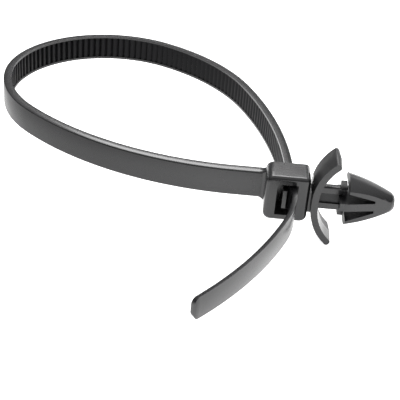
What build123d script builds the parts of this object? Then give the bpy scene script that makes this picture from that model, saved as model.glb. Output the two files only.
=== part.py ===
"""Push mount cable tie, moulded in one piece, its strap looped through its own head.

The frame is the panel's: the origin is on the arrow's axis, in the plane of the barbs' shoulders, which
grip the far side of the panel. +X points out of the arrow's nose, +Z across the strap's width and -Y to the
side where the tail leaves the head. Everything is drawn in one of two planes: the strap and the pawl in plan
(XY), and the head, wings, stem and slits in elevation (XZ), which is how a two-part mould makes them.
"""
from build123d import *
from math import cos, floor, radians, sin, tan
import os

# Strap
strap_width = 4.8
strap_thickness = 1.3
strap_edge_draft = 8.0
rail_width = 0.45
tooth_pitch = 1.2
tooth_depth = 0.45
tooth_relief = 0.06
tooth_steep_run = 0.12
plain_root_length = 22.0
root_flare = 0.45
root_flare_length = 0.9

# Loop, clockwise from the head; the leaving and the returning bend take the radii that close it
leaving_straight = 4.85
leaving_turn = 44.0
shoulder_radius = 22.0
shoulder_turn = 43.0
far_radius = 19.1
far_turn = 118.0
side_radius = 34.0
side_turn = 40.0
returning_straight = 3.8
strap_lean = 3.0

# Tail, a thinner and narrower end without teeth
tail_thickness = 0.75
tail_root_width = 4.5
tail_tip_width = 3.6
tail_step_length = 1.1
tail_near_radius = 21.2
tail_near_turn = 23.0
tail_far_radius = 67.0
tail_far_turn = 21.5
tail_tip_round = 0.9

# Locking head
head_length = 6.9
head_depth = 5.0
head_height = 7.8
head_drop = 0.1
head_front_reach = 2.0
head_strap_corner_round = 1.2
head_lower_corner_round = 1.1
head_upper_corner_round = 0.75
head_front_round = 0.65
head_back_bevel = 0.15
strap_side_wall = 1.8
arrow_side_wall = 1.85
slot_play = 0.3
slot_drop = 0.2
slot_lead_in = 0.3
pocket_wall = 1.1
passage_play = 0.3
strap_gap = 0.37

# Pawl, the tongue that catches the strap's teeth
pawl_width = 3.1
pawl_tip_thickness = 0.6
pawl_release_gap = 0.98
pawl_tip_inset = 0.15
pawl_clearance = 0.1
pawl_teeth = 2

# Neck and spring wings
neck_length = 0.225
neck_width = 2.6
neck_height = 2.6
wing_thickness = 1.39
wing_depth = 5.5
wing_radius = 9.0
wing_sweep = 52.0
wing_flat_half = 0.6
wing_tip_round = 0.6
wing_draft = 3.5

# Stem, an upright plate with a pocket in each side, and the nubs behind the barbs
stem_length = 4.295
stem_height = 4.1
stem_thickness = 1.25
stem_rail = 1.15
stem_web = 0.6
stem_round = 0.35
nub_length = 0.95
nub_rise = 0.75
nub_inset = 0.15

# Arrowhead
barb_radius = 4.15
nose_radius = 1.55
nose_round = 0.45
arrow_length = 7.45
arrow_bulge_height = 0.28
flat_half_depth = 3.0
flat_taper = 11.6
spine_thickness = 1.3
spine_back = 1.2
slit_length = 4.3
slit_end_width = 0.42
barb_lip = 1.7

# Places that follow from the sizes
wing_inner_x = -stem_length
wing_outer_x = wing_inner_x - wing_thickness
head_right_x = wing_outer_x - neck_length
head_left_x = head_right_x - head_length
slot_left_x = head_left_x + strap_side_wall
slot_right_x = head_right_x - arrow_side_wall
slot_height = strap_width + 2 * slot_play
head_front_y = -head_front_reach
head_back_y = head_front_y + head_depth
head_middle_y = (head_front_y + head_back_y) / 2
strap_root_y = head_back_y - strap_thickness / 2
strap_pass_x = slot_right_x - strap_gap - strap_thickness / 2
passage_left_x = strap_pass_x - strap_thickness / 2 - passage_play
pocket_back_y = head_back_y - pocket_wall
overlap = 0.3


def bend_shift(radius, heading, turn):
    """Displacement along a clockwise bend that starts at a heading, both angles in degrees."""
    end = heading - turn
    across = sin(radians(heading)) - sin(radians(end))
    along = cos(radians(end)) - cos(radians(heading))
    return radius * across, radius * along


def strap_pieces():
    """Centre line from the head's side to the last tooth, as (length, radius) pairs, radius 0 if straight.

    The strap leaves the head towards -X and comes back through the slot towards -Y, leaning by strap_lean.
    The radii of the leaving and the returning bend are solved so that the line meets the slot's middle.
    """
    middle_bends = [(shoulder_radius, shoulder_turn), (far_radius, far_turn), (side_radius, side_turn)]
    pass_heading = strap_lean - 90.0
    pass_x, pass_y = cos(radians(pass_heading)), sin(radians(pass_heading))
    across = strap_pass_x - head_left_x + leaving_straight - returning_straight * pass_x
    along = head_middle_y - strap_root_y - returning_straight * pass_y
    heading = 180.0 - leaving_turn
    leave_x, leave_y = bend_shift(1.0, 180.0, leaving_turn)
    for radius, turn in middle_bends:
        dx, dy = bend_shift(radius, heading, turn)
        across -= dx
        along -= dy
        heading -= turn
    returning_turn = heading - pass_heading
    return_x, return_y = bend_shift(1.0, heading, returning_turn)
    crossing = leave_x * return_y - leave_y * return_x
    leaving_radius = (across * return_y - along * return_x) / crossing
    returning_radius = (along * leave_x - across * leave_y) / crossing
    bends = [(leaving_radius, leaving_turn)] + middle_bends + [(returning_radius, returning_turn)]
    inside_head = (head_middle_y - head_front_y) / -pass_y - tail_step_length
    pieces = [(leaving_straight, 0.0)]
    pieces += [(radius * radians(turn), radius) for radius, turn in bends]
    pieces += [(returning_straight + inside_head, 0.0)]
    return pieces


def walk(pieces, start, heading, offset):
    """Edges of a line beside the pieces, at an offset to their left, with its end point and heading."""
    edges = []
    left = (-sin(radians(heading)), cos(radians(heading)))
    point = (start[0] + left[0] * offset, start[1] + left[1] * offset)
    for length, radius in pieces:
        tangent = (cos(radians(heading)), sin(radians(heading)))
        if radius == 0.0:
            end = (point[0] + tangent[0] * length, point[1] + tangent[1] * length)
            edge = Line(point, end)
        else:
            turn = length / radius / radians(1.0)
            edge = JernArc(point, tangent, radius + offset, -turn)
            heading -= turn
            end = (edge @ 1).X, (edge @ 1).Y
        edges.append(edge)
        point = end
    return edges, point, heading


def place_at(pieces, start, heading, distance, offset):
    """Point at a distance along the pieces' centre line and at an offset to its left."""
    x, y = start
    for length, radius in pieces:
        step = min(distance, length)
        if radius == 0.0:
            x += cos(radians(heading)) * step
            y += sin(radians(heading)) * step
        else:
            turn = step / radius / radians(1.0)
            dx, dy = bend_shift(radius, heading, turn)
            x += dx
            y += dy
            heading -= turn
        distance -= step
        if distance <= 0.0:
            break
    return x - sin(radians(heading)) * offset, y + cos(radians(heading)) * offset


loop_pieces = strap_pieces()
loop_start = (head_left_x, strap_root_y)
loop_length = sum(length for length, _ in loop_pieces)
outer_side = strap_thickness / 2
tooth_tip_side = -(strap_thickness / 2 - tooth_relief)
tooth_root_side = -(strap_thickness / 2 - tooth_depth)


def strap_point(distance, offset):
    return place_at(loop_pieces, loop_start, 180.0, distance, offset)


def upright(face, height):
    """A plan face raised to a height, half above and half below the strap's middle."""
    return extrude(face, amount=height / 2, both=True)


def strap_band():
    """The strap's section along the loop, each long edge drafted both ways from a ridge at mid-thickness."""
    root = [(overlap, 0.0)] + loop_pieces
    start = (head_left_x + overlap, strap_root_y)
    centre_line, _, _ = walk(root, start, 180.0, 0.0)
    face_half = strap_width / 2 - outer_side * tan(radians(strap_edge_draft))
    across = Plane(origin=(*start, 0), x_dir=(0, -1, 0), z_dir=(-1, 0, 0))
    section = across * Polyline(
        (outer_side, -face_half),
        (outer_side, face_half),
        (0, strap_width / 2),
        (-outer_side, face_half),
        (-outer_side, -face_half),
        (0, -strap_width / 2),
        close=True,
    )
    return sweep(make_face(section), path=Wire(centre_line))


def tooth_distances():
    """Where each tooth's tip stands along the loop, counted back from the toothed part's end."""
    count = floor((loop_length - plain_root_length) / tooth_pitch)
    return [loop_length - tooth_pitch * (count - number) for number in range(count)]


def tooth_gullets():
    """The strip between the two rails that is cut away to leave the saw teeth on the loop's inside."""
    clear_side = -(strap_thickness / 2 + overlap)
    profile = []
    clear_line = []
    for distance in tooth_distances():
        profile.append(strap_point(distance, tooth_tip_side))
        profile.append(strap_point(distance + tooth_pitch - tooth_steep_run, tooth_root_side))
        clear_line.append(strap_point(distance, clear_side))
    profile.append(strap_point(loop_length, tooth_tip_side))
    clear_line.append(strap_point(loop_length, clear_side))
    outline = Polyline(*profile, *reversed(clear_line), close=True)
    return upright(make_face(outline), strap_width - 2 * rail_width)


def strap_root_flare():
    """Where the strap swells into the side of the head."""
    wide_thickness = strap_thickness + root_flare
    slim_centre = (head_left_x - root_flare_length, strap_root_y, 0)
    wide_centre = (head_left_x + overlap, head_back_y - wide_thickness / 2, 0)
    slim_plane = Plane(origin=slim_centre, x_dir=(0, 1, 0), z_dir=(1, 0, 0))
    wide_plane = Plane(origin=wide_centre, x_dir=(0, 1, 0), z_dir=(1, 0, 0))
    slim = slim_plane * Rectangle(strap_thickness - overlap, strap_width - overlap)
    wide = wide_plane * Rectangle(wide_thickness, strap_width + 2 * root_flare)
    return loft([slim, wide], ruled=True)


def strap_tail():
    """The smooth end beyond the teeth: it thins in the slot, then narrows evenly to a rounded tip."""
    _, thick_outer, heading = walk(loop_pieces, loop_start, 180.0, outer_side)
    _, thick_inner, _ = walk(loop_pieces, loop_start, 180.0, -outer_side)
    straight = [(tail_step_length, 0.0)]
    near_bend = (tail_near_radius * radians(tail_near_turn), tail_near_radius)
    far_bend = (tail_far_radius * radians(tail_far_turn), tail_far_radius)
    bends = [near_bend, far_bend]
    _, step_end, _ = walk(straight, thick_outer, heading, 0.0)
    outer, outer_end, _ = walk(straight + bends, thick_outer, heading, 0.0)
    thin_inner, inner_end, _ = walk(bends, step_end, heading, -tail_thickness)
    step = Line(thick_inner, thin_inner[0] @ 0)
    ends = [Line(thick_inner, thick_outer), Line(inner_end, outer_end)]
    band = upright(make_face(outer + [step] + thin_inner + ends), strap_width)
    tip_y = min(outer_end[1], inner_end[1])
    side = Plane.YZ * Polyline(
        (thick_outer[1], strap_width / 2),
        (head_front_y, tail_root_width / 2),
        (tip_y, tail_tip_width / 2),
        (tip_y, -tail_tip_width / 2),
        (head_front_y, -tail_root_width / 2),
        (thick_outer[1], -strap_width / 2),
        close=True,
    )
    reach = 2 * (head_right_x - inner_end[0])
    pull = band & extrude(make_face(side), amount=reach, both=True)
    tip_centre = ((outer_end[0] + inner_end[0]) / 2, (outer_end[1] + inner_end[1]) / 2, 0)
    tip = pull.faces().sort_by_distance(tip_centre)[0]
    corners = tip.edges().filter_by(lambda edge: edge.length < 2 * tail_thickness)
    return fillet(corners, tail_tip_round)


def locking_head():
    """The head's block with the strap's passage, its lead-in at the back, and the pawl's pocket in front."""
    head_x = (head_left_x + head_right_x) / 2
    block = Pos(head_x, head_middle_y, -head_drop) * Box(head_length, head_depth, head_height)
    uprights = block.edges().filter_by(Axis.Y).sort_by(Axis.X)
    block = fillet(uprights[:2], head_strap_corner_round)
    uprights = block.edges().filter_by(Axis.Y).sort_by(Axis.X)[-2:].sort_by(Axis.Z)
    block = fillet(uprights[0], head_lower_corner_round)
    uprights = block.edges().filter_by(Axis.Y).sort_by(Axis.X)[-2:].sort_by(Axis.Z)
    block = fillet(uprights[1], head_upper_corner_round)
    block = fillet(block.faces().sort_by(Axis.Y)[0].edges(), head_front_round)
    block = chamfer(block.faces().sort_by(Axis.Y)[-1].edges(), head_back_bevel)
    slot_z = -slot_drop
    passage_x = (passage_left_x + slot_right_x) / 2
    passage_width = slot_right_x - passage_left_x
    passage = Box(passage_width, head_depth + 2 * overlap, slot_height)
    passage = Pos(passage_x, head_middle_y, slot_z) * passage
    mouth_centre = (passage_x, head_back_y - slot_lead_in, slot_z)
    mouth_plane = Plane(origin=mouth_centre, x_dir=(1, 0, 0), z_dir=(0, 1, 0))
    mouth = mouth_plane * Rectangle(passage_width, slot_height)
    lead_in = extrude(mouth, amount=slot_lead_in + overlap, taper=-45)
    pocket_width = passage_x - slot_left_x
    pocket_depth = pocket_back_y - head_front_y + overlap
    pocket = Box(pocket_width, pocket_depth, slot_height)
    pocket = Pos(slot_left_x + pocket_width / 2, pocket_back_y - pocket_depth / 2, slot_z) * pocket
    return block - passage - lead_in - pocket


def pawl():
    """A tongue that stands on the pocket's back wall, its teeth in the strap's gullets with a clearance."""
    tip_y = head_front_y + pawl_tip_inset
    root_y = pocket_back_y + overlap
    outer_x = slot_left_x + pawl_release_gap
    tip_x = outer_x + pawl_tip_thickness
    face_side = tooth_tip_side - pawl_clearance
    tooth_side = tooth_root_side - pawl_clearance
    teeth = []
    for distance in tooth_distances()[-pawl_teeth:]:
        teeth.append(strap_point(distance - pawl_clearance, face_side))
        teeth.append(strap_point(distance + tooth_pitch - tooth_steep_run - pawl_clearance, tooth_side))
    teeth.append(strap_point(loop_length - pawl_clearance, face_side))
    outline = Polyline(
        (outer_x, root_y),
        (passage_left_x, root_y),
        *teeth,
        (tip_x, tip_y),
        (outer_x, tip_y),
        close=True,
    )
    return Pos(0, 0, -slot_drop) * upright(make_face(outline), pawl_width)


def wing_arc(radius):
    """The upper arc of the wings at one radius, from the flat at the neck out to the tip."""
    centre_x = wing_outer_x + wing_radius
    points = []
    for sweep_angle in (0.0, wing_sweep / 2, wing_sweep):
        turn = radians(sweep_angle)
        points.append((centre_x - radius * cos(turn), wing_flat_half + radius * sin(turn)))
    return ThreePointArc(*points)


def wing_profile():
    """One bow of constant thickness in elevation: a flat at the neck and an arc out to each wing's tip."""
    outer_arc = wing_arc(wing_radius)
    inner_arc = wing_arc(wing_radius - wing_thickness)
    half_face = make_face([
        outer_arc,
        Line(outer_arc @ 1, inner_arc @ 1),
        inner_arc,
        Line((wing_inner_x, wing_flat_half), (wing_inner_x, 0)),
        Line((wing_inner_x, 0), (wing_outer_x, 0)),
        Line((wing_outer_x, 0), (wing_outer_x, wing_flat_half)),
    ])
    tip_corners = half_face.vertices().sort_by(Axis.Y)[-2:]
    half_face = fillet(tip_corners, wing_tip_round)
    return half_face + mirror(half_face, Plane.XZ)


def wings():
    """Both spring wings, each face drafted both ways from the parting line at mid-depth."""
    return extrude(Plane.XZ * wing_profile(), amount=wing_depth / 2, both=True, taper=wing_draft)


def neck():
    """The short bridge from the head to the wings."""
    length = neck_length + 2 * overlap
    return Pos((head_right_x + wing_outer_x) / 2, 0, 0) * Box(length, neck_width, neck_height)


def stem():
    """The upright plate between wings and arrow, pocketed on both sides so that it is all one wall."""
    plate_plane = Plane.XZ
    length = stem_length + overlap
    plate = plate_plane * Pos(-stem_length - overlap + length / 2, 0) * Rectangle(length, stem_height)
    body = extrude(plate, amount=stem_thickness / 2, both=True)
    long_edges = body.edges().filter_by(Axis.X)
    body = fillet(long_edges, stem_round)
    pocket_length = stem_length - nub_inset - nub_length / 2
    pocket_height = stem_height - 2 * stem_rail
    pocket_depth = (stem_thickness - stem_web) / 2
    for side in (-1, 1):
        pocket_y = side * (stem_web / 2 + pocket_depth)
        pocket = Box(pocket_length, 2 * pocket_depth, pocket_height)
        body -= Pos(wing_inner_x + pocket_length / 2, pocket_y, 0) * pocket
        nub_z = side * (stem_height / 2 + nub_rise / 2 - overlap / 2)
        nub = Box(nub_length, stem_thickness, nub_rise + overlap)
        body += Pos(-nub_inset - nub_length / 2, 0, nub_z) * nub
    return body


def slit(side):
    """The wedge-shaped opening between the spine and one barb, which lets the barb flex inwards."""
    spine_z = spine_thickness / 2
    outline = Polyline(
        (-overlap, side * spine_z),
        (slit_length, side * spine_z),
        (slit_length, side * (spine_z + slit_end_width)),
        (0.0, side * (barb_radius - barb_lip)),
        (-overlap, side * (barb_radius - barb_lip)),
        close=True,
    )
    return extrude(Plane.XZ * make_face(outline), amount=barb_radius, both=True)


def arrowhead():
    """A turned cone, cut flat on two sides, and slit so that its two barbs spring off a central spine."""
    nose_x = arrow_length
    middle = ((nose_x - nose_round) / 2, (barb_radius + nose_radius) / 2 + arrow_bulge_height)
    side = ThreePointArc((0, barb_radius), middle, (nose_x - nose_round, nose_radius))
    profile = make_face([
        Line((0, 0), (0, barb_radius)),
        side,
        Line((nose_x - nose_round, nose_radius), (nose_x, nose_radius - nose_round)),
        Line((nose_x, nose_radius - nose_round), (nose_x, 0)),
        Line((nose_x, 0), (0, 0)),
    ])
    cone = revolve(profile, Axis.X)
    nose_depth = flat_half_depth - nose_x * tan(radians(flat_taper))
    plan = make_face(Polyline(
        (0, -flat_half_depth),
        (nose_x, -nose_depth),
        (nose_x, nose_depth),
        (0, flat_half_depth),
        close=True,
    ))
    head = cone & upright(plan, 2 * barb_radius)
    spine_length = spine_back + overlap
    spine = Pos(overlap - spine_length / 2, 0, 0) * Box(spine_length, 2 * flat_half_depth, spine_thickness)
    return head - slit(1) - slit(-1) + spine


def cable_tie():
    """The whole moulding, joined from its parts; the strap passes the slot without touching it."""
    strap = strap_band() - tooth_gullets() + strap_tail()
    fixed = locking_head() + pawl() + neck() + wings() + stem() + arrowhead()
    return fixed + strap + strap_root_flare()


if __name__ == "__main__":
    os.makedirs("parts", exist_ok=True)
    tie = cable_tie()
    tie.label = "cable_tie"
    export_step(tie, "parts/cable_tie.step")
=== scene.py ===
import math

import bmesh
import bpy
from mathutils import Matrix, Vector
from mathutils.kdtree import KDTree


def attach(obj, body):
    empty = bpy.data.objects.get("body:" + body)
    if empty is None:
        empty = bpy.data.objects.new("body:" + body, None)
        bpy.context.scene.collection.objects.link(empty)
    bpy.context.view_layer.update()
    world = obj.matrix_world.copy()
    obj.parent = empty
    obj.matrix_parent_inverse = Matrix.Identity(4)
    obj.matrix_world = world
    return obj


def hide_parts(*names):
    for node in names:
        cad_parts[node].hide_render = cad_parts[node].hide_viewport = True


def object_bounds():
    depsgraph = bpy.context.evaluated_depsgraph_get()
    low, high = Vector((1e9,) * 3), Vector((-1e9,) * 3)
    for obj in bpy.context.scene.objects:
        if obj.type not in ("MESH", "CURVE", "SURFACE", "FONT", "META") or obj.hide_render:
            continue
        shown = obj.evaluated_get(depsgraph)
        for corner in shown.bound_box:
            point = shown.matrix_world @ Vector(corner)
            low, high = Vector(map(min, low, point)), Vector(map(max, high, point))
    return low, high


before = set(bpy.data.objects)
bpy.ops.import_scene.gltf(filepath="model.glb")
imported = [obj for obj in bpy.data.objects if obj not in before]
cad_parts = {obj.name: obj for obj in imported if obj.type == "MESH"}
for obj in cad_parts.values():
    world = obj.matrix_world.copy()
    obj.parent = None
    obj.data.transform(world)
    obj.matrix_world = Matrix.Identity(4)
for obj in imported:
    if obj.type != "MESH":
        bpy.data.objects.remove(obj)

bl_info = {
    "name": "Push Mount Cable Tie",
    "version": (1, 0, 0),
    "blender": (4, 5, 0),
    "location": "3D Viewport > Sidebar > Cable Tie",
    "description": "Builds a looped push mount cable tie of black nylon, with its studio floor and lights",
    "category": "Object",
}

NODE = "cable_tie"
BODY = "root"
CAD_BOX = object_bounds()

# The strap's way round in plan, clockwise from the head's side, in runs of (length, bend radius).
# A straight run has radius 0. These and the other lengths of the tie are in millimetres.
LOOP_START = (-12.81, 2.35)
LOOP_RUNS = (
    (4.85, 0.0),
    (39.1685, 51.0043),
    (16.5108, 22.0),
    (39.3362, 19.1),
    (23.7365, 34.0),
    (29.9776, 78.0724),
    (5.2034, 0.0),
)
TAIL_RUNS = ((1.1, 0.0), (8.5107, 21.2), (25.1414, 67.0))
WAY_STEP = 0.5
TAIL_FINE_STEP = 0.11
TAIL_TIP_STEPS = 7
FLARE_STEPS = 6

# How far the strap's root reaches into the head, a tooth's foot into the band, and a form into its neighbour
ROOT_DEPTH = 0.3
TOOTH_FOOT = 0.1
OVERLAP = 0.05

# How far a tooth's edges are eased, and the hair's breadth that keeps a cut or a test clear of a face
TOOTH_EASE = 0.05
HAIR = 0.01

# The head's front face in Y, where the tail comes out
HEAD_FRONT_Y = -2.0

# The wings lie between the first two in X, and at least the third from the middle in Z
WING_REACH = (-5.8, -1.0, 2.3)

# A face counts as a side or a back when its normal's part along Y, or against X, is more than this
SIDEWAYS = 0.9
BACKWARDS = 0.8

# Edges sharper than this stay sharp in the shading, and facets flatter than the other angle are joined
SMOOTH_ANGLE = math.radians(35.0)
FLAT_ANGLE = math.radians(0.6)

# In metres: points nearer than the first are merged, and one nearer than the second lies on the cut
MERGE_WITHIN = 1.0e-6
ON_CUT_WITHIN = 1.0e-7

# The stage, in metres
FLOOR_RADIUS = 2.0
SWEEP_GROWTH = 1.15
SWEEP_HEIGHT = 0.3
FLOOR_GAP = 0.00002
CAMERA_VIEW = (
    (0.99593, -0.09002, 0.00335, -0.0222087),
    (0.05000, 0.52153, -0.85177, -0.1333834),
    (0.07493, 0.84847, 0.52391, 0.0792825),
    (0.0, 0.0, 0.0, 1.0),
)


class StrapSizes(bpy.types.PropertyGroup):
    """Sizes of the toothed strap and its smooth tail, in millimetres."""

    width: bpy.props.FloatProperty(
        name="Width", description="Across the strap, rail to rail", default=4.8, min=1.0
    )
    thickness: bpy.props.FloatProperty(
        name="Thickness", description="From the smooth back to the rails", default=1.29, min=0.5
    )
    back_draft: bpy.props.FloatProperty(
        name="Back Draft", description="Slope of the edges on the half that carries the smooth back",
        default=math.radians(8.0), subtype="ANGLE"
    )
    rail_draft: bpy.props.FloatProperty(
        name="Rail Draft", description="Slope of the edges on the half that carries the rails",
        default=math.radians(5.0), subtype="ANGLE"
    )
    edge_round: bpy.props.FloatProperty(
        name="Edge Round", description="Radius along the smooth back's long edges", default=0.25, min=0.01
    )
    rail_width: bpy.props.FloatProperty(
        name="Rail Width", description="Plain rim on each side of the teeth", default=0.45, min=0.1
    )
    rail_lift: bpy.props.FloatProperty(
        name="Rail Lift", description="How far the rails and teeth rise above the even band", default=0.12
    )
    tooth_pitch: bpy.props.FloatProperty(
        name="Tooth Pitch", description="From one tooth to the next along the strap", default=1.2, min=0.5
    )
    tooth_depth: bpy.props.FloatProperty(
        name="Tooth Depth", description="From the rails down to the gullets", default=0.45, min=0.1
    )
    tooth_relief: bpy.props.FloatProperty(
        name="Tooth Relief", description="How far the tooth tips stay below the rails", default=0.06, min=0.0
    )
    tooth_steep_run: bpy.props.FloatProperty(
        name="Steep Run", description="Length of a tooth's steep face along the strap", default=0.12, min=0.01
    )
    tooth_land: bpy.props.FloatProperty(
        name="Tooth Land", description="Length of a tooth's flat tip along the strap", default=0.45, min=0.0
    )
    tooth_count: bpy.props.IntProperty(
        name="Teeth", description="Number of teeth on the strap", default=113, min=1
    )
    tail_thickness: bpy.props.FloatProperty(
        name="Tail Thickness", description="Thickness of the smooth tail", default=0.75, min=0.2
    )
    tail_root_width: bpy.props.FloatProperty(
        name="Tail Root Width", description="Tail width where it leaves the head", default=4.5, min=1.0
    )
    tail_tip_width: bpy.props.FloatProperty(
        name="Tail Tip Width", description="Tail width at its rounded tip", default=3.6, min=1.0
    )
    tail_tip_round: bpy.props.FloatProperty(
        name="Tail Tip Round", description="Corner radius at the tail's tip", default=0.9, min=0.1
    )
    tail_draft: bpy.props.FloatProperty(
        name="Tail Draft", description="Slope of the tail's long edges towards its inner face",
        default=math.radians(20.0), subtype="ANGLE"
    )
    tail_edge_round: bpy.props.FloatProperty(
        name="Tail Edge Round", description="Radius along the tail's long edges", default=0.02, min=0.01
    )


class MouldingSizes(bpy.types.PropertyGroup):
    """Rounding and small forms of the head and the panel mount, in millimetres."""

    flare_length: bpy.props.FloatProperty(
        name="Flare Length", description="Length of the strap's flared root", default=0.9, min=0.1
    )
    flare_growth: bpy.props.FloatProperty(
        name="Flare Growth", description="What the root gains in thickness and on each edge",
        default=0.28, min=0.0
    )
    neck_width: bpy.props.FloatProperty(
        name="Neck Width", description="Depth of the neck, front to back", default=2.5, min=0.5
    )
    neck_foot: bpy.props.FloatProperty(
        name="Neck Foot", description="Height of the neck's lower edge, from the middle", default=-2.5
    )
    neck_top: bpy.props.FloatProperty(
        name="Neck Top", description="Height of the lower half's top, inside the neck", default=0.5
    )
    neck_round: bpy.props.FloatProperty(
        name="Neck Round", description="Radius along the neck's lower edges", default=0.25, min=0.01
    )
    neck_from: bpy.props.FloatProperty(
        name="Neck From", description="Where the neck leaves the head's face", default=-6.3
    )
    neck_to: bpy.props.FloatProperty(
        name="Neck To", description="Where the neck ends inside the wings", default=-5.0
    )
    rib_left: bpy.props.FloatProperty(
        name="Rib Left", description="Side of the passage rib that meets the strap's back", default=-8.25
    )
    rib_right: bpy.props.FloatProperty(
        name="Rib Right", description="Side of the passage rib that sits in the head's wall", default=-7.7
    )
    rib_from: bpy.props.FloatProperty(
        name="Rib From", description="Front of the passage rib, from the middle", default=0.3
    )
    rib_depth: bpy.props.FloatProperty(
        name="Rib Depth", description="Length of the passage rib, front to back", default=1.5, min=0.1
    )
    rib_height: bpy.props.FloatProperty(
        name="Rib Height", description="Height of the passage rib", default=5.2, min=0.5
    )
    stem_from: bpy.props.FloatProperty(
        name="Stem From", description="Where the stem leaves the wings", default=-5.0
    )
    stem_to: bpy.props.FloatProperty(
        name="Stem To", description="Where the stem meets the arrowhead", default=0.3
    )
    barb_back_reach: bpy.props.FloatProperty(
        name="Barb Back Reach", description="How far behind the stem's end the barbs' back faces start",
        default=1.5, min=0.0
    )
    stem_web: bpy.props.FloatProperty(
        name="Stem Web", description="Thickness of the web between the rails", default=0.6, min=0.1
    )
    stem_pocket: bpy.props.FloatProperty(
        name="Stem Pocket", description="Height of the pocket between the rails", default=1.8, min=0.1
    )
    edge_round: bpy.props.FloatProperty(
        name="Edge Round", description="Radius that the mould leaves on the edges", default=0.12, min=0.01
    )
    round_from: bpy.props.FloatProperty(
        name="Round From", description="Edges sharper than this angle are rounded",
        default=math.radians(38.0), subtype="ANGLE"
    )


class NylonLook(bpy.types.PropertyGroup):
    """Colour and surface of the moulded nylon."""

    colour: bpy.props.StringProperty(name="Colour", description="Black nylon, sRGB hex", default="#101011")
    flow_colour: bpy.props.StringProperty(
        name="Flow Colour", description="Paler flow marks in the nylon, sRGB hex", default="#2e2e30"
    )
    flow: bpy.props.FloatProperty(
        name="Flow", description="Size of the flow marks in millimetres", default=7.0, min=0.5
    )
    tooth_colour: bpy.props.StringProperty(
        name="Tooth Colour", description="Matt nylon between the rails, sRGB hex", default="#18181a"
    )
    roughness: bpy.props.FloatProperty(
        name="Roughness", description="Satin gloss of the moulded skin",
        default=0.24, min=0.0, max=1.0, subtype="FACTOR"
    )
    roughness_dip: bpy.props.FloatProperty(
        name="Roughness Dip", description="How far the glossiest flow marks stay below the roughness",
        default=0.05, min=0.0
    )
    roughness_spread: bpy.props.FloatProperty(
        name="Roughness Spread", description="How much the roughness varies over the flow marks",
        default=0.11, min=0.0
    )
    # Specular levels of the two matt finishes, which paint shade between the strap's rails and on the mount's
    # web, barb backs and wing faces.
    tooth_shade_gloss: bpy.props.FloatProperty(
        name="Tooth Gloss", description="Specular level between the strap's rails",
        default=0.13, min=0.0, max=1.0, subtype="FACTOR"
    )
    mount_shade_gloss: bpy.props.FloatProperty(
        name="Mount Gloss", description="Specular level of the mount's matt faces",
        default=0.45, min=0.0, max=1.0, subtype="FACTOR"
    )
    grain: bpy.props.FloatProperty(
        name="Grain", description="Size of the mould's fine grain in millimetres", default=0.25, min=0.05
    )
    sink: bpy.props.FloatProperty(
        name="Sink", description="Size of the soft sink marks in millimetres", default=3.0, min=0.5
    )


class StudioSettings(bpy.types.PropertyGroup):
    """Floor and soft lights."""

    floor_colour: bpy.props.StringProperty(
        name="Floor", description="Floor colour, sRGB hex", default="#e7e7e7"
    )
    floor_glow: bpy.props.FloatProperty(
        name="Floor Glow", description="Light that the floor shows to the camera", default=1.0, min=0.0
    )
    # The mirrored glow and its fade paint a reflection that darkens towards the left.
    mirrored_glow: bpy.props.FloatProperty(
        name="Mirrored Glow", description="Light that the floor shows in glossy faces, right of the fade",
        default=1.18, min=0.0
    )
    fade_left: bpy.props.FloatProperty(
        name="Fade Left", description="Where the mirrored glow has faded out, in millimetres along X",
        default=-75.0
    )
    fade_right: bpy.props.FloatProperty(
        name="Fade Right", description="Where the mirrored glow is full, in millimetres along X",
        default=-22.0
    )
    side_light: bpy.props.FloatProperty(
        name="Side Softbox", description="Radiance of the softbox behind on the right", default=1.3, min=0.0
    )
    back_light: bpy.props.FloatProperty(
        name="Back Softbox", description="Radiance of the softbox above and behind", default=7.5, min=0.0
    )


def linear(hex_colour):
    """An sRGB hex colour as linear RGBA."""
    digits = hex_colour.lstrip("#")
    channels = []
    for start in (0, 2, 4):
        value = int(digits[start:start + 2], 16) / 255
        channels.append(value / 12.92 if value <= 0.04045 else ((value + 0.055) / 1.055) ** 2.4)
    return (*channels, 1.0)


def add_node(tree, kind, settings=None, **inputs):
    """A node with its properties set and its named inputs given a value or linked to a socket."""
    node = tree.nodes.new(kind)
    for name, value in (settings or {}).items():
        setattr(node, name, value)
    for name, value in inputs.items():
        socket = node.inputs[int(name[1:])] if name[0] == "i" and name[1:].isdigit() else node.inputs[name]
        if isinstance(value, bpy.types.NodeSocket):
            tree.links.new(value, socket)
        else:
            socket.default_value = value
    return node


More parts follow.
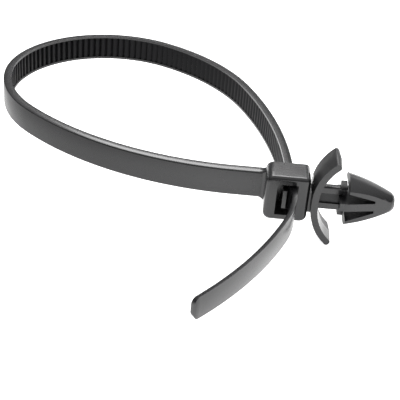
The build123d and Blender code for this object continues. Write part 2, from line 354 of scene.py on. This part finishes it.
def moulded_black_nylon(look):
    """Injection-moulded black nylon 6.6: a satin skin with faint flow marks, fine grain and soft sink marks.

    The skin is glossy enough to show the softboxes as pale bands, and the grain breaks them up a little.
    The real grain is too fine to show, so it is drawn coarser.
    """
    material = bpy.data.materials.get("moulded_black_nylon")
    if material:
        return material
    material = bpy.data.materials.new("moulded_black_nylon")
    material.use_nodes = True
    tree = material.node_tree
    skin = tree.nodes["Principled BSDF"].inputs
    skin["IOR"].default_value = 1.58
    place = add_node(tree, "ShaderNodeTexCoord").outputs["Object"]
    grain = add_node(tree, "ShaderNodeTexNoise", Vector=place, Scale=1000.0 / look.grain, Detail=2.0)
    sink = add_node(tree, "ShaderNodeTexNoise", Vector=place, Scale=1000.0 / look.sink, Detail=1.0)
    patches = add_node(tree, "ShaderNodeTexNoise", Vector=place, Scale=1000.0 / look.flow, Detail=3.0)
    flow = add_node(
        tree, "ShaderNodeMix", {"data_type": "RGBA"},
        i0=patches.outputs["Fac"], i6=linear(look.colour), i7=linear(look.flow_colour)
    )
    tree.links.new(flow.outputs[2], skin["Base Color"])
    smoothest = look.roughness - look.roughness_dip
    satin = add_node(
        tree, "ShaderNodeMapRange", Value=patches.outputs["Fac"],
        **{"To Min": smoothest, "To Max": smoothest + look.roughness_spread}
    )
    tree.links.new(satin.outputs["Result"], skin["Roughness"])
    dents = add_node(tree, "ShaderNodeBump", Height=sink.outputs["Fac"], Strength=0.25, Distance=0.00006)
    pores = add_node(
        tree, "ShaderNodeBump", Height=grain.outputs["Fac"], Strength=0.2, Distance=0.000008,
        Normal=dents.outputs["Normal"]
    )
    tree.links.new(pores.outputs["Normal"], skin["Normal"])
    return material


def painted_shade_nylon(look, name, gloss):
    """The same nylon made matt, with its specular level turned down: painted shade that darkens recesses and
    the faces it is given.

    Its pits take the size of the grain, and are drawn coarser than the real ones in the same way.
    """
    material = bpy.data.materials.new(name)
    material.use_nodes = True
    tree = material.node_tree
    skin = tree.nodes["Principled BSDF"].inputs
    skin["Base Color"].default_value = linear(look.tooth_colour)
    skin["IOR"].default_value = 1.53
    skin["Specular IOR Level"].default_value = gloss
    place = add_node(tree, "ShaderNodeTexCoord").outputs["Object"]
    pits = add_node(tree, "ShaderNodeTexNoise", Vector=place, Scale=1000.0 / look.grain, Detail=3.0)
    matt = add_node(tree, "ShaderNodeMapRange", Value=pits.outputs["Fac"], **{"To Min": 0.4, "To Max": 0.55})
    tree.links.new(matt.outputs["Result"], skin["Roughness"])
    rough = add_node(tree, "ShaderNodeBump", Height=pits.outputs["Fac"], Strength=0.3, Distance=0.00001)
    tree.links.new(rough.outputs["Normal"], skin["Normal"])
    return material


def run_stations(runs, start, heading, step):
    """Stations along the runs: (x, y, heading) in millimetres and radians, about a step apart."""
    x, y = start
    stations = [(x, y, heading)]
    for length, radius in runs:
        count = max(1, round(length / step))
        for _ in range(count):
            part = length / count
            if radius:
                turn = part / radius
                middle = heading - turn / 2
                chord = 2 * radius * math.sin(turn / 2)
                x += chord * math.cos(middle)
                y += chord * math.sin(middle)
                heading -= turn
            else:
                x += part * math.cos(heading)
                y += part * math.sin(heading)
            stations.append((x, y, heading))
    return stations


def loop_stations():
    """Stations on the strap's middle line, from inside the head's side to the last tooth."""
    start = (LOOP_START[0] + ROOT_DEPTH, LOOP_START[1])
    return run_stations(((ROOT_DEPTH, 0.0),) + LOOP_RUNS, start, math.pi, WAY_STEP)


def between(first, last, share):
    """The value a share of the way from the first to the last."""
    return first + (last - first) * share


def rounded_outline(corners, radius, steps=3):
    """A closed outline from corners (u, v, share), each rounded with its share of the radius."""
    outline = []
    count = len(corners)
    for index, (u, v, share) in enumerate(corners):
        here = Vector((u, v))
        if not share:
            outline.append(here)
            continue
        before = (Vector(corners[index - 1][:2]) - here).normalized()
        after = (Vector(corners[(index + 1) % count][:2]) - here).normalized()
        half = before.angle(after) / 2
        reach = radius * share / math.tan(half)
        centre = here + (before + after).normalized() * (radius * share / math.sin(half))
        first = here + before * reach - centre
        last = here + after * reach - centre
        sweep = first.angle_signed(last)
        for number in range(steps + 1):
            turned = first.copy()
            turned.rotate(Matrix.Rotation(-sweep * number / steps, 2))
            outline.append(centre + turned)
    return outline


def loft(shell, rings):
    """Adds a closed loft through rings of points to a shell."""
    corners = []
    for ring in rings:
        corners.append([shell.verts.new((x / 1000, y / 1000, z / 1000)) for x, y, z in ring])
    count = len(corners[0])
    for first, second in zip(corners, corners[1:]):
        for index in range(count):
            after = (index + 1) % count
            shell.faces.new((first[index], first[after], second[after], second[index]))
    shell.faces.new(corners[0])
    shell.faces.new(list(reversed(corners[-1])))


def scratch_object(name, data):
    """An object that only feeds the strap's node tree and is removed after use."""
    helper = bpy.data.objects.new(name, data)
    bpy.context.scene.collection.objects.link(helper)
    return helper


def scratch_curve(name, points, cyclic):
    """A poly curve through points (x, y) as a scratch object."""
    data = bpy.data.curves.new(name, "CURVE")
    data.dimensions = "3D"
    spline = data.splines.new("POLY")
    spline.points.add(len(points) - 1)
    for point, (x, y) in zip(spline.points, points):
        point.co = (x / 1000, y / 1000, 0.0, 1.0)
    spline.use_cyclic_u = cyclic
    return scratch_object(name, data)


def strap_outline(sizes):
    """The strap's section, the smooth back at +u: drafted edges, two rails, and the floor between them."""
    half_thick = sizes.thickness / 2
    ridge = sizes.width / 2
    middle = ridge - half_thick * math.tan(sizes.rail_draft)
    face = middle - half_thick * math.tan(sizes.back_draft)
    rail_inner = ridge - sizes.rail_width
    rail_top = -(half_thick + sizes.rail_lift)
    floor = rail_top + sizes.tooth_depth
    corners = [
        (half_thick, -face, 1.0),
        (half_thick, face, 1.0),
        (0.0, middle, 0.2),
        (rail_top, ridge, 0.15),
        (rail_top, rail_inner, 0.2),
        (floor, rail_inner, 0.0),
        (floor, -rail_inner, 0.0),
        (rail_top, -rail_inner, 0.2),
        (rail_top, -ridge, 0.15),
        (0.0, -middle, 0.2),
    ]
    outline = rounded_outline(corners, sizes.edge_round)
    return scratch_curve("strap_outline", [(-place.x, place.y) for place in outline], True)


def saw_tooth(sizes):
    """One tooth between the rails, along +X from its tip line: a ramp down and a steep back, edges eased."""
    rail_top = -(sizes.thickness / 2 + sizes.rail_lift)
    floor = rail_top + sizes.tooth_depth
    tip = rail_top + sizes.tooth_relief
    sunk = floor + TOOTH_FOOT
    eased = tip + TOOTH_EASE
    half = sizes.width / 2 - sizes.rail_width + OVERLAP
    steep = sizes.tooth_steep_run
    run = sizes.tooth_pitch - steep
    land = sizes.tooth_land
    profile = [
        (-steep, sunk), (-steep, floor), (-0.6 * TOOTH_EASE, eased), (0.4 * TOOTH_EASE, tip),
        (land - TOOTH_EASE, tip), (land + TOOTH_EASE, eased), (run, floor), (run, sunk),
    ]
    tooth = bmesh.new()
    loft(tooth, [[(x, y, side) for x, y in profile] for side in (-half, half)])
    bmesh.ops.recalc_face_normals(tooth, faces=tooth.faces)
    data = bpy.data.meshes.new("saw_tooth")
    tooth.to_mesh(data)
    tooth.free()
    return scratch_object("saw_tooth", data)


def toothed_strap_tree(material):
    """Sweeps the outline along the way and stands a tooth at every pitch of its toothed stretch."""
    tree = bpy.data.node_groups.new("toothed_strap", "GeometryNodeTree")
    wanted = (
        ("Way", "Geometry"), ("Outline", "Object"), ("Tooth", "Object"),
        ("Toothed From", "Float"), ("Toothed To", "Float"), ("Teeth", "Int"),
    )
    for name, kind in wanted:
        tree.interface.new_socket(name, in_out="INPUT", socket_type="NodeSocket" + kind)
    tree.interface.new_socket("Strap", in_out="OUTPUT", socket_type="NodeSocketGeometry")
    given = tree.nodes.new("NodeGroupInput").outputs
    way = add_node(tree, "GeometryNodeSetCurveNormal", {"mode": "Z_UP"}, Curve=given["Way"]).outputs["Curve"]
    outline = add_node(tree, "GeometryNodeObjectInfo", Object=given["Outline"])
    band = add_node(
        tree, "GeometryNodeCurveToMesh", Curve=way,
        **{"Profile Curve": outline.outputs["Geometry"], "Fill Caps": True}
    )
    toothed = add_node(tree, "GeometryNodeTrimCurve", {"mode": "LENGTH"}, Curve=way)
    for name, end in (("Toothed From", "Start"), ("Toothed To", "End")):
        by_length = [socket for socket in toothed.inputs if socket.name == end][-1]
        tree.links.new(given[name], by_length)
    places = add_node(
        tree, "GeometryNodeCurveToPoints", {"mode": "COUNT"},
        Curve=toothed.outputs["Curve"], Count=given["Teeth"]
    )
    along = add_node(
        tree, "FunctionNodeAxesToRotation", {"primary_axis": "X", "secondary_axis": "Z"},
        i0=places.outputs["Tangent"], i1=(0.0, 0.0, 1.0)
    )
    tooth = add_node(tree, "GeometryNodeObjectInfo", Object=given["Tooth"])
    teeth = add_node(
        tree, "GeometryNodeInstanceOnPoints", Points=places.outputs["Points"],
        Instance=tooth.outputs["Geometry"], Rotation=along.outputs["Rotation"]
    )
    joined = tree.nodes.new("GeometryNodeJoinGeometry")
    tree.links.new(teeth.outputs["Instances"], joined.inputs[0])
    tree.links.new(band.outputs["Mesh"], joined.inputs[0])
    real = add_node(tree, "GeometryNodeRealizeInstances", Geometry=joined.outputs["Geometry"])
    finish = add_node(tree, "GeometryNodeSetMaterial", Geometry=real.outputs["Geometry"], Material=material)
    add_node(tree, "NodeGroupOutput", Strap=finish.outputs["Geometry"])
    return tree


def set_input(modifier, name, value):
    """Gives a node tree's named input its value through the socket's identifier."""
    for item in modifier.node_group.interface.items_tree:
        if item.in_out == "INPUT" and item.name == name:
            modifier[item.identifier] = value
            return
    raise ValueError(f"the node tree has no input named {name}")


def plain_mesh(source):
    """The evaluated shape of an object as a mesh with no modifiers."""
    graph = bpy.context.evaluated_depsgraph_get()
    return bpy.data.meshes.new_from_object(source.evaluated_get(graph), depsgraph=graph)


def toothed_band(sizes, material):
    """The strap's band with its teeth, from the node tree, as a bmesh."""
    way = scratch_curve("strap_way", [(x, y) for x, y, _ in loop_stations()], False)
    outline = strap_outline(sizes)
    tooth = saw_tooth(sizes)
    modifier = way.modifiers.new("toothed_strap", "NODES")
    modifier.node_group = toothed_strap_tree(material)
    total = ROOT_DEPTH + sum(length for length, _ in LOOP_RUNS)
    first = total - sizes.tooth_count * sizes.tooth_pitch
    last = total - sizes.tooth_pitch
    set_input(modifier, "Outline", outline)
    set_input(modifier, "Tooth", tooth)
    set_input(modifier, "Toothed From", first / 1000)
    set_input(modifier, "Toothed To", last / 1000)
    set_input(modifier, "Teeth", sizes.tooth_count)
    bpy.context.view_layer.update()
    mesh = plain_mesh(way)
    for helper in (way, outline, tooth):
        bpy.data.objects.remove(helper)
    band = bmesh.new()
    band.from_mesh(mesh)
    bpy.data.meshes.remove(mesh)
    return band


def mark_painted_shade_recess(band, sizes):
    """Gives the matt finish of painted shade to the faces between the rails: all on the toothed side, teeth
    among them.
    """
    stations = loop_stations()
    finder = KDTree(len(stations))
    for index, (x, y, _) in enumerate(stations):
        finder.insert((x, y, 0.0), index)
    finder.balance()
    recess_edge = sizes.width / 2 - sizes.rail_width + HAIR
    for face in band.faces:
        centre = face.calc_center_median() * 1000
        _, index, _ = finder.find((centre.x, centre.y, 0.0))
        x, y, heading = stations[index]
        offset = (centre.y - y) * math.cos(heading) - (centre.x - x) * math.sin(heading)
        inside = abs(centre.z) < recess_edge and offset < 0.0
        face.material_index = 1 if inside else 0


def tail_stations(sizes):
    """Stations (x, y, heading, distance) on the tail's outer face, close together at its step and its tip."""
    x, y, heading = loop_stations()[-1]
    left = heading + math.pi / 2
    outer = (x + math.cos(left) * sizes.thickness / 2, y + math.sin(left) * sizes.thickness / 2)
    evenly = run_stations(TAIL_RUNS[:1], outer, heading, TAIL_FINE_STEP)
    evenly += run_stations(TAIL_RUNS[1:], evenly[-1][:2], heading, WAY_STEP)[1:]
    total = sum(length for length, _ in TAIL_RUNS)
    tip_start = total - sizes.tail_tip_round
    stations = []
    distance = 0.0
    previous = evenly[0]
    for station in evenly:
        distance += math.dist(previous[:2], station[:2])
        previous = station
        if distance < tip_start:
            stations.append((*station, distance))
    x, y, heading = evenly[-1]
    for number in range(TAIL_TIP_STEPS + 1):
        distance = tip_start + sizes.tail_tip_round * math.sin(math.pi / 2 * number / TAIL_TIP_STEPS)
        back = total - distance
        stations.append((x - math.cos(heading) * back, y - math.sin(heading) * back, heading, distance))
    return stations


def tail_loft(sizes):
    """The smooth tail: it thins inside the head, then narrows evenly to a rounded tip."""
    stations = tail_stations(sizes)
    step_length = TAIL_RUNS[0][0]
    outer_y, tip_y = stations[0][1], stations[-1][1]
    tip_start = stations[-1][3] - sizes.tail_tip_round
    rings = []
    for x, y, heading, distance in stations:
        thick = between(sizes.thickness, sizes.tail_thickness, min(1.0, distance / step_length))
        if y > HEAD_FRONT_Y:
            along = (outer_y - y) / (outer_y - HEAD_FRONT_Y)
            wide = between(sizes.width, sizes.tail_root_width, along)
        else:
            along = (HEAD_FRONT_Y - y) / (HEAD_FRONT_Y - tip_y)
            wide = between(sizes.tail_root_width, sizes.tail_tip_width, along)
        into_tip = max(0.0, distance - tip_start) / sizes.tail_tip_round
        wide -= 2 * sizes.tail_tip_round * (1 - math.sqrt(max(0.0, 1 - into_tip ** 2)))
        half = wide / 2
        slim = half - thick * math.tan(sizes.tail_draft)
        outline = rounded_outline(
            [(0.0, -half, 1.0), (0.0, half, 1.0), (-thick, slim, 1.0), (-thick, -slim, 1.0)],
            sizes.tail_edge_round
        )
        left = heading + math.pi / 2
        rings.append([
            (x + math.cos(left) * place.x, y + math.sin(left) * place.x, place.y) for place in outline
        ])
    tail = bmesh.new()
    loft(tail, rings)
    return tail


def add_shell(shell, part):
    """Joins a part's closed shell to another shell of the same moulding."""
    carrier = bpy.data.meshes.new("carrier")
    bmesh.ops.recalc_face_normals(part, faces=part.faces)
    part.to_mesh(carrier)
    part.free()
    shell.from_mesh(carrier)
    bpy.data.meshes.remove(carrier)


def finish_piece(shell, name, materials):
    """A closed bmesh as a finished piece of the moulding that stands for the CAD node."""
    if not shell.faces:
        raise RuntimeError(f"{name} has no surface")
    bmesh.ops.recalc_face_normals(shell, faces=shell.faces)
    mesh = bpy.data.meshes.new(name)
    shell.to_mesh(mesh)
    shell.free()
    for material in materials:
        mesh.materials.append(material)
    mesh.shade_smooth()
    mesh.set_sharp_from_angle(angle=SMOOTH_ANGLE)
    piece = bpy.data.objects.new(name, mesh)
    bpy.context.scene.collection.objects.link(piece)
    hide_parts(NODE)
    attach(piece, BODY)
    return piece


class CABLETIE_OT_strap(bpy.types.Operator):
    """Build the looped strap with its rails, teeth and smooth tail"""

    bl_idname = "cable_tie.strap"
    bl_label = "Build Strap"

    def execute(self, context):
        sizes = context.scene.tie_strap
        look = context.scene.tie_nylon
        nylon = moulded_black_nylon(look)
        # The matt finish between the rails paints shade on the teeth and gullets.
        shade_finish = painted_shade_nylon(look, "painted_shade_nylon", look.tooth_shade_gloss)
        band = toothed_band(sizes, nylon)
        mark_painted_shade_recess(band, sizes)
        add_shell(band, tail_loft(sizes))
        finish_piece(band, "toothed_strap", (nylon, shade_finish))
        return {"FINISHED"}


def root_flare(strap, sizes):
    """The strap's root, which thickens towards the head's side on every face but the inner one."""
    level = LOOP_START[1] + strap.thickness / 2
    shell = bmesh.new()
    rings = []
    for number in range(FLARE_STEPS + 1):
        share = number / FLARE_STEPS
        grown = share ** 2
        x = LOOP_START[0] - sizes.flare_length * (1 - share)
        thick = between(strap.thickness - 2 * OVERLAP, strap.thickness + sizes.flare_growth, grown)
        half = between(strap.width / 2 - OVERLAP, strap.width / 2 + sizes.flare_growth, grown)
        outline = rounded_outline(
            [(0.0, -half, 1.0), (0.0, half, 1.0), (-thick, half, 1.0), (-thick, -half, 1.0)], strap.edge_round
        )
        rings.append([(x, level + place.x, place.y) for place in outline])
    rings.append([(LOOP_START[0] + ROOT_DEPTH, y, z) for _, y, z in rings[-1]])
    loft(shell, rings)
    return shell


def neck_web(sizes):
    """The lower half of the neck, which reaches further down between head and wings than up."""
    shell = bmesh.new()
    half = sizes.neck_width / 2
    low, high = sizes.neck_foot, sizes.neck_top
    rings = []
    for x in (sizes.neck_from, sizes.neck_to):
        outline = rounded_outline(
            [(-half, low, 1.0), (half, low, 1.0), (half, high, 1.0), (-half, high, 1.0)], sizes.neck_round
        )
        rings.append([(x, place.x, place.y) for place in outline])
    loft(shell, rings)
    return shell


def passage_rib(sizes):
    """A rib inside the strap's passage that fills the play behind the strap's smooth back."""
    shell = bmesh.new()
    half = sizes.rib_height / 2
    rings = []
    left, right = sizes.rib_left, sizes.rib_right
    for y in (sizes.rib_from, sizes.rib_from + sizes.rib_depth):
        rings.append([(left, y, -half), (right, y, -half), (right, y, half), (left, y, half)])
    loft(shell, rings)
    return shell


def mark_painted_shade_faces(shell, sizes):
    """Gives the matt finish of painted shade to the stem's web, the barbs' backs and part of the wings.

    On the wings it takes the faces towards the head and the whole back halves.
    """
    wing_from, wing_to, wing_root = WING_REACH
    for face in shell.faces:
        centre = face.calc_center_median() * 1000
        faces_side = abs(face.normal.y) > SIDEWAYS
        pocket = abs(centre.y) < sizes.stem_web / 2 + OVERLAP and abs(centre.z) < sizes.stem_pocket / 2
        web = sizes.stem_from < centre.x < sizes.stem_to and pocket and faces_side
        barb_back = centre.x > sizes.stem_to - sizes.barb_back_reach and face.normal.x < -BACKWARDS
        wing = wing_from < centre.x < wing_to and abs(centre.z) > wing_root
        head_side = face.normal.z * centre.z > 0.0 and not faces_side
        if web or barb_back or (wing and (centre.y > 0.0 or head_side)):
            face.material_index = 1


def cut_faces(shell, place, normal):
    """Cuts a shell's faces along a plane and keeps both sides."""
    whole = shell.verts[:] + shell.edges[:] + shell.faces[:]
    bmesh.ops.bisect_plane(shell, geom=whole, dist=ON_CUT_WITHIN, plane_co=place, plane_no=normal)


def mount_shell():
    """The head and panel mount, taken from the CAD node's own surface, with the strap left off."""
    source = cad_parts[NODE]
    shell = bmesh.new()
    shell.from_mesh(source.data)
    bmesh.ops.remove_doubles(shell, verts=shell.verts, dist=MERGE_WITHIN)
    side_x = (LOOP_START[0] - HAIR) / 1000
    cut_faces(shell, (side_x, 0, 0), (1, 0, 0))
    cut_faces(shell, (0, 0, 0), (0, 1, 0))
    nose = max(shell.faces, key=lambda face: face.calc_center_median().x)
    kept = {nose}
    front = [nose]
    while front:
        face = front.pop()
        for edge in face.edges:
            for neighbour in edge.link_faces:
                if neighbour not in kept and neighbour.calc_center_median().x > side_x:
                    kept.add(neighbour)
                    front.append(neighbour)
    bmesh.ops.delete(shell, geom=[face for face in shell.faces if face not in kept], context="FACES")
    open_edges = [edge for edge in shell.edges if edge.is_boundary]
    bmesh.ops.holes_fill(shell, edges=open_edges, sides=0)
    off_middle = [edge for edge in shell.edges if any(abs(vert.co.y) >= ON_CUT_WITHIN for vert in edge.verts)]
    bmesh.ops.dissolve_limit(shell, angle_limit=FLAT_ANGLE, verts=shell.verts[:], edges=off_middle)
    return shell


class CABLETIE_OT_mount(bpy.types.Operator):
    """Build the locking head with its pawl, and the neck, wings, stem and arrowhead"""

    bl_idname = "cable_tie.mount"
    bl_label = "Build Head And Mount"

    def execute(self, context):
        sizes = context.scene.tie_moulding
        look = context.scene.tie_nylon
        nylon = moulded_black_nylon(look)
        # The lighter matt finish paints shade on the stem's web, the barbs' backs and parts of the wings.
        shade_finish = painted_shade_nylon(look, "lightly_painted_shade_nylon", look.mount_shade_gloss)
        shell = mount_shell()
        mark_painted_shade_faces(shell, sizes)
        for part in (root_flare(context.scene.tie_strap, sizes), neck_web(sizes), passage_rib(sizes)):
            add_shell(shell, part)
        piece = finish_piece(shell, "head_and_mount", (nylon, shade_finish))
        edges = piece.modifiers.new("moulded_edges", "BEVEL")
        edges.width = sizes.edge_round / 1000
        edges.segments = 3
        edges.limit_method = "ANGLE"
        edges.angle_limit = sizes.round_from
        level = piece.modifiers.new("flat_faces", "WEIGHTED_NORMAL")
        level.keep_sharp = True
        return {"FINISHED"}


def studio_floor(studio):
    """A plain floor with a low sweep at its rim, which takes the shadow and looks white to the camera."""
    low, _ = CAD_BOX
    sheet = bmesh.new()
    bmesh.ops.create_circle(sheet, cap_ends=True, segments=96, radius=FLOOR_RADIUS)
    rim = [edge for edge in sheet.edges if edge.is_boundary]
    sweep = bmesh.ops.extrude_edge_only(sheet, edges=rim)
    for vert in [part for part in sweep["geom"] if isinstance(part, bmesh.types.BMVert)]:
        vert.co = (vert.co.x * SWEEP_GROWTH, vert.co.y * SWEEP_GROWTH, SWEEP_HEIGHT)
    bmesh.ops.recalc_face_normals(sheet, faces=sheet.faces)
    bmesh.ops.translate(sheet, verts=sheet.verts, vec=(0.0, 0.0, low.z - FLOOR_GAP))
    mesh = bpy.data.meshes.new("floor")
    sheet.to_mesh(mesh)
    sheet.free()
    floor = bpy.data.objects.new("floor", mesh)
    bpy.context.scene.collection.objects.link(floor)
    mesh.materials.append(white_paper(studio))


def white_paper(studio):
    """Matt white studio paper: white to the camera, and in glossy faces a painted reflection, a glow that
    fades to the left.
    """
    paper = bpy.data.materials.new("white_paper")
    paper.use_nodes = True
    tree = paper.node_tree
    tree.nodes.clear()
    ray = add_node(tree, "ShaderNodeLightPath").outputs
    mirrored = add_node(
        tree, "ShaderNodeMath", {"operation": "MAXIMUM"},
        i0=ray["Is Glossy Ray"], i1=ray["Is Transmission Ray"]
    )
    place = add_node(tree, "ShaderNodeTexCoord").outputs["Object"]
    # Painted reflection: the glow that glossy faces see fades along X, so reflections on the left come out
    # darker.
    fade = add_node(
        tree, "ShaderNodeMapRange", Value=add_node(tree, "ShaderNodeSeparateXYZ", Vector=place).outputs["X"],
        **{
            "From Min": studio.fade_left / 1000, "From Max": studio.fade_right / 1000,
            "To Max": studio.mirrored_glow,
        }
    )
    seen = add_node(
        tree, "ShaderNodeMath", {"operation": "MULTIPLY"}, i0=ray["Is Camera Ray"], i1=studio.floor_glow
    )
    painted_reflection = add_node(
        tree, "ShaderNodeMath", {"operation": "MULTIPLY"}, i0=mirrored.outputs[0], i1=fade.outputs["Result"]
    )
    glow = add_node(
        tree, "ShaderNodeMath", {"operation": "MAXIMUM"}, i0=seen.outputs[0], i1=painted_reflection.outputs[0]
    )
    matt = add_node(tree, "ShaderNodeBsdfDiffuse", Color=linear(studio.floor_colour))
    white = add_node(tree, "ShaderNodeEmission", Strength=glow.outputs[0])
    both = add_node(tree, "ShaderNodeAddShader", i0=matt.outputs[0], i1=white.outputs[0])
    add_node(tree, "ShaderNodeOutputMaterial", Surface=both.outputs[0])
    return paper


def studio_world():
    """An even room light, dim up to 17 degrees above the horizon and brightest overhead."""
    world = bpy.data.worlds.new("soft_room")
    bpy.context.scene.world = world
    world.use_nodes = True
    tree = world.node_tree
    tree.nodes.clear()
    place = add_node(tree, "ShaderNodeTexCoord").outputs["Generated"]
    climb = add_node(
        tree, "ShaderNodeMapRange", Value=add_node(tree, "ShaderNodeSeparateXYZ", Vector=place).outputs["Z"],
        **{"From Min": 0.3, "From Max": 0.9, "To Min": 0.15, "To Max": 0.9}
    )
    room = add_node(tree, "ShaderNodeBackground", Strength=climb.outputs["Result"], Color=linear("#ffffff"))
    add_node(tree, "ShaderNodeOutputWorld", Surface=room.outputs[0])


def softbox(name, place, target, size, radiance):
    """A rectangular softbox that faces a target, as bright per area as its radiance says."""
    lamp = bpy.data.lights.new(name, "AREA")
    lamp.shape = "RECTANGLE"
    lamp.size, lamp.size_y = size
    lamp.energy = radiance * math.pi * size[0] * size[1]
    holder = bpy.data.objects.new(name, lamp)
    bpy.context.scene.collection.objects.link(holder)
    holder.location = place
    holder.rotation_mode = "QUATERNION"
    holder.rotation_quaternion = (Vector(target) - Vector(place)).to_track_quat("-Z", "Y")


def studio_camera():
    """The camera where the photograph's was."""
    camera = bpy.data.cameras.new("camera")
    camera.lens = 89.1
    camera.sensor_width = 36.0
    camera.clip_start = 0.005
    camera.clip_end = 20.0
    holder = bpy.data.objects.new("camera", camera)
    bpy.context.scene.collection.objects.link(holder)
    holder.matrix_world = Matrix(CAMERA_VIEW)
    bpy.context.scene.camera = holder


class CABLETIE_OT_stage(bpy.types.Operator):
    """Set the floor, the soft lights and the camera"""

    bl_idname = "cable_tie.stage"
    bl_label = "Set Stage"

    def execute(self, context):
        studio = context.scene.tie_studio
        studio_floor(studio)
        studio_world()
        softbox(
            "back_softbox", place=(-0.04, 0.25, 0.27), target=(-0.04, 0.25, 0.0), size=(0.20, 0.28),
            radiance=studio.back_light
        )
        softbox(
            "side_softbox", place=(0.32, 0.42, 0.20), target=(0.0, 0.0, 0.0), size=(0.30, 0.24),
            radiance=studio.side_light
        )
        studio_camera()
        context.scene.view_settings.view_transform = "Standard"
        return {"FINISHED"}


class VIEW3D_PT_cable_tie(bpy.types.Panel):
    """Sizes, finish and stage of the cable tie"""

    bl_label = "Push Mount Cable Tie"
    bl_space_type = "VIEW_3D"
    bl_region_type = "UI"
    bl_category = "Cable Tie"

    def draw(self, context):
        scene = context.scene
        for group in (scene.tie_strap, scene.tie_moulding, scene.tie_nylon, scene.tie_studio):
            box = self.layout.box()
            for name in group.__annotations__:
                box.prop(group, name)
        for name in ("cable_tie.strap", "cable_tie.mount", "cable_tie.stage"):
            self.layout.operator(name)


CLASSES = (
    StrapSizes, MouldingSizes, NylonLook, StudioSettings,
    CABLETIE_OT_strap, CABLETIE_OT_mount, CABLETIE_OT_stage, VIEW3D_PT_cable_tie,
)


def register():
    for item in CLASSES:
        bpy.utils.register_class(item)
    bpy.types.Scene.tie_strap = bpy.props.PointerProperty(type=StrapSizes)
    bpy.types.Scene.tie_moulding = bpy.props.PointerProperty(type=MouldingSizes)
    bpy.types.Scene.tie_nylon = bpy.props.PointerProperty(type=NylonLook)
    bpy.types.Scene.tie_studio = bpy.props.PointerProperty(type=StudioSettings)


def unregister():
    del bpy.types.Scene.tie_studio
    del bpy.types.Scene.tie_nylon
    del bpy.types.Scene.tie_moulding
    del bpy.types.Scene.tie_strap
    for item in reversed(CLASSES):
        bpy.utils.unregister_class(item)


def main():
    """Builds the cable tie and its stage."""
    register()
    bpy.ops.cable_tie.strap()
    bpy.ops.cable_tie.mount()
    bpy.ops.cable_tie.stage()


if __name__ == "__main__":
    main()
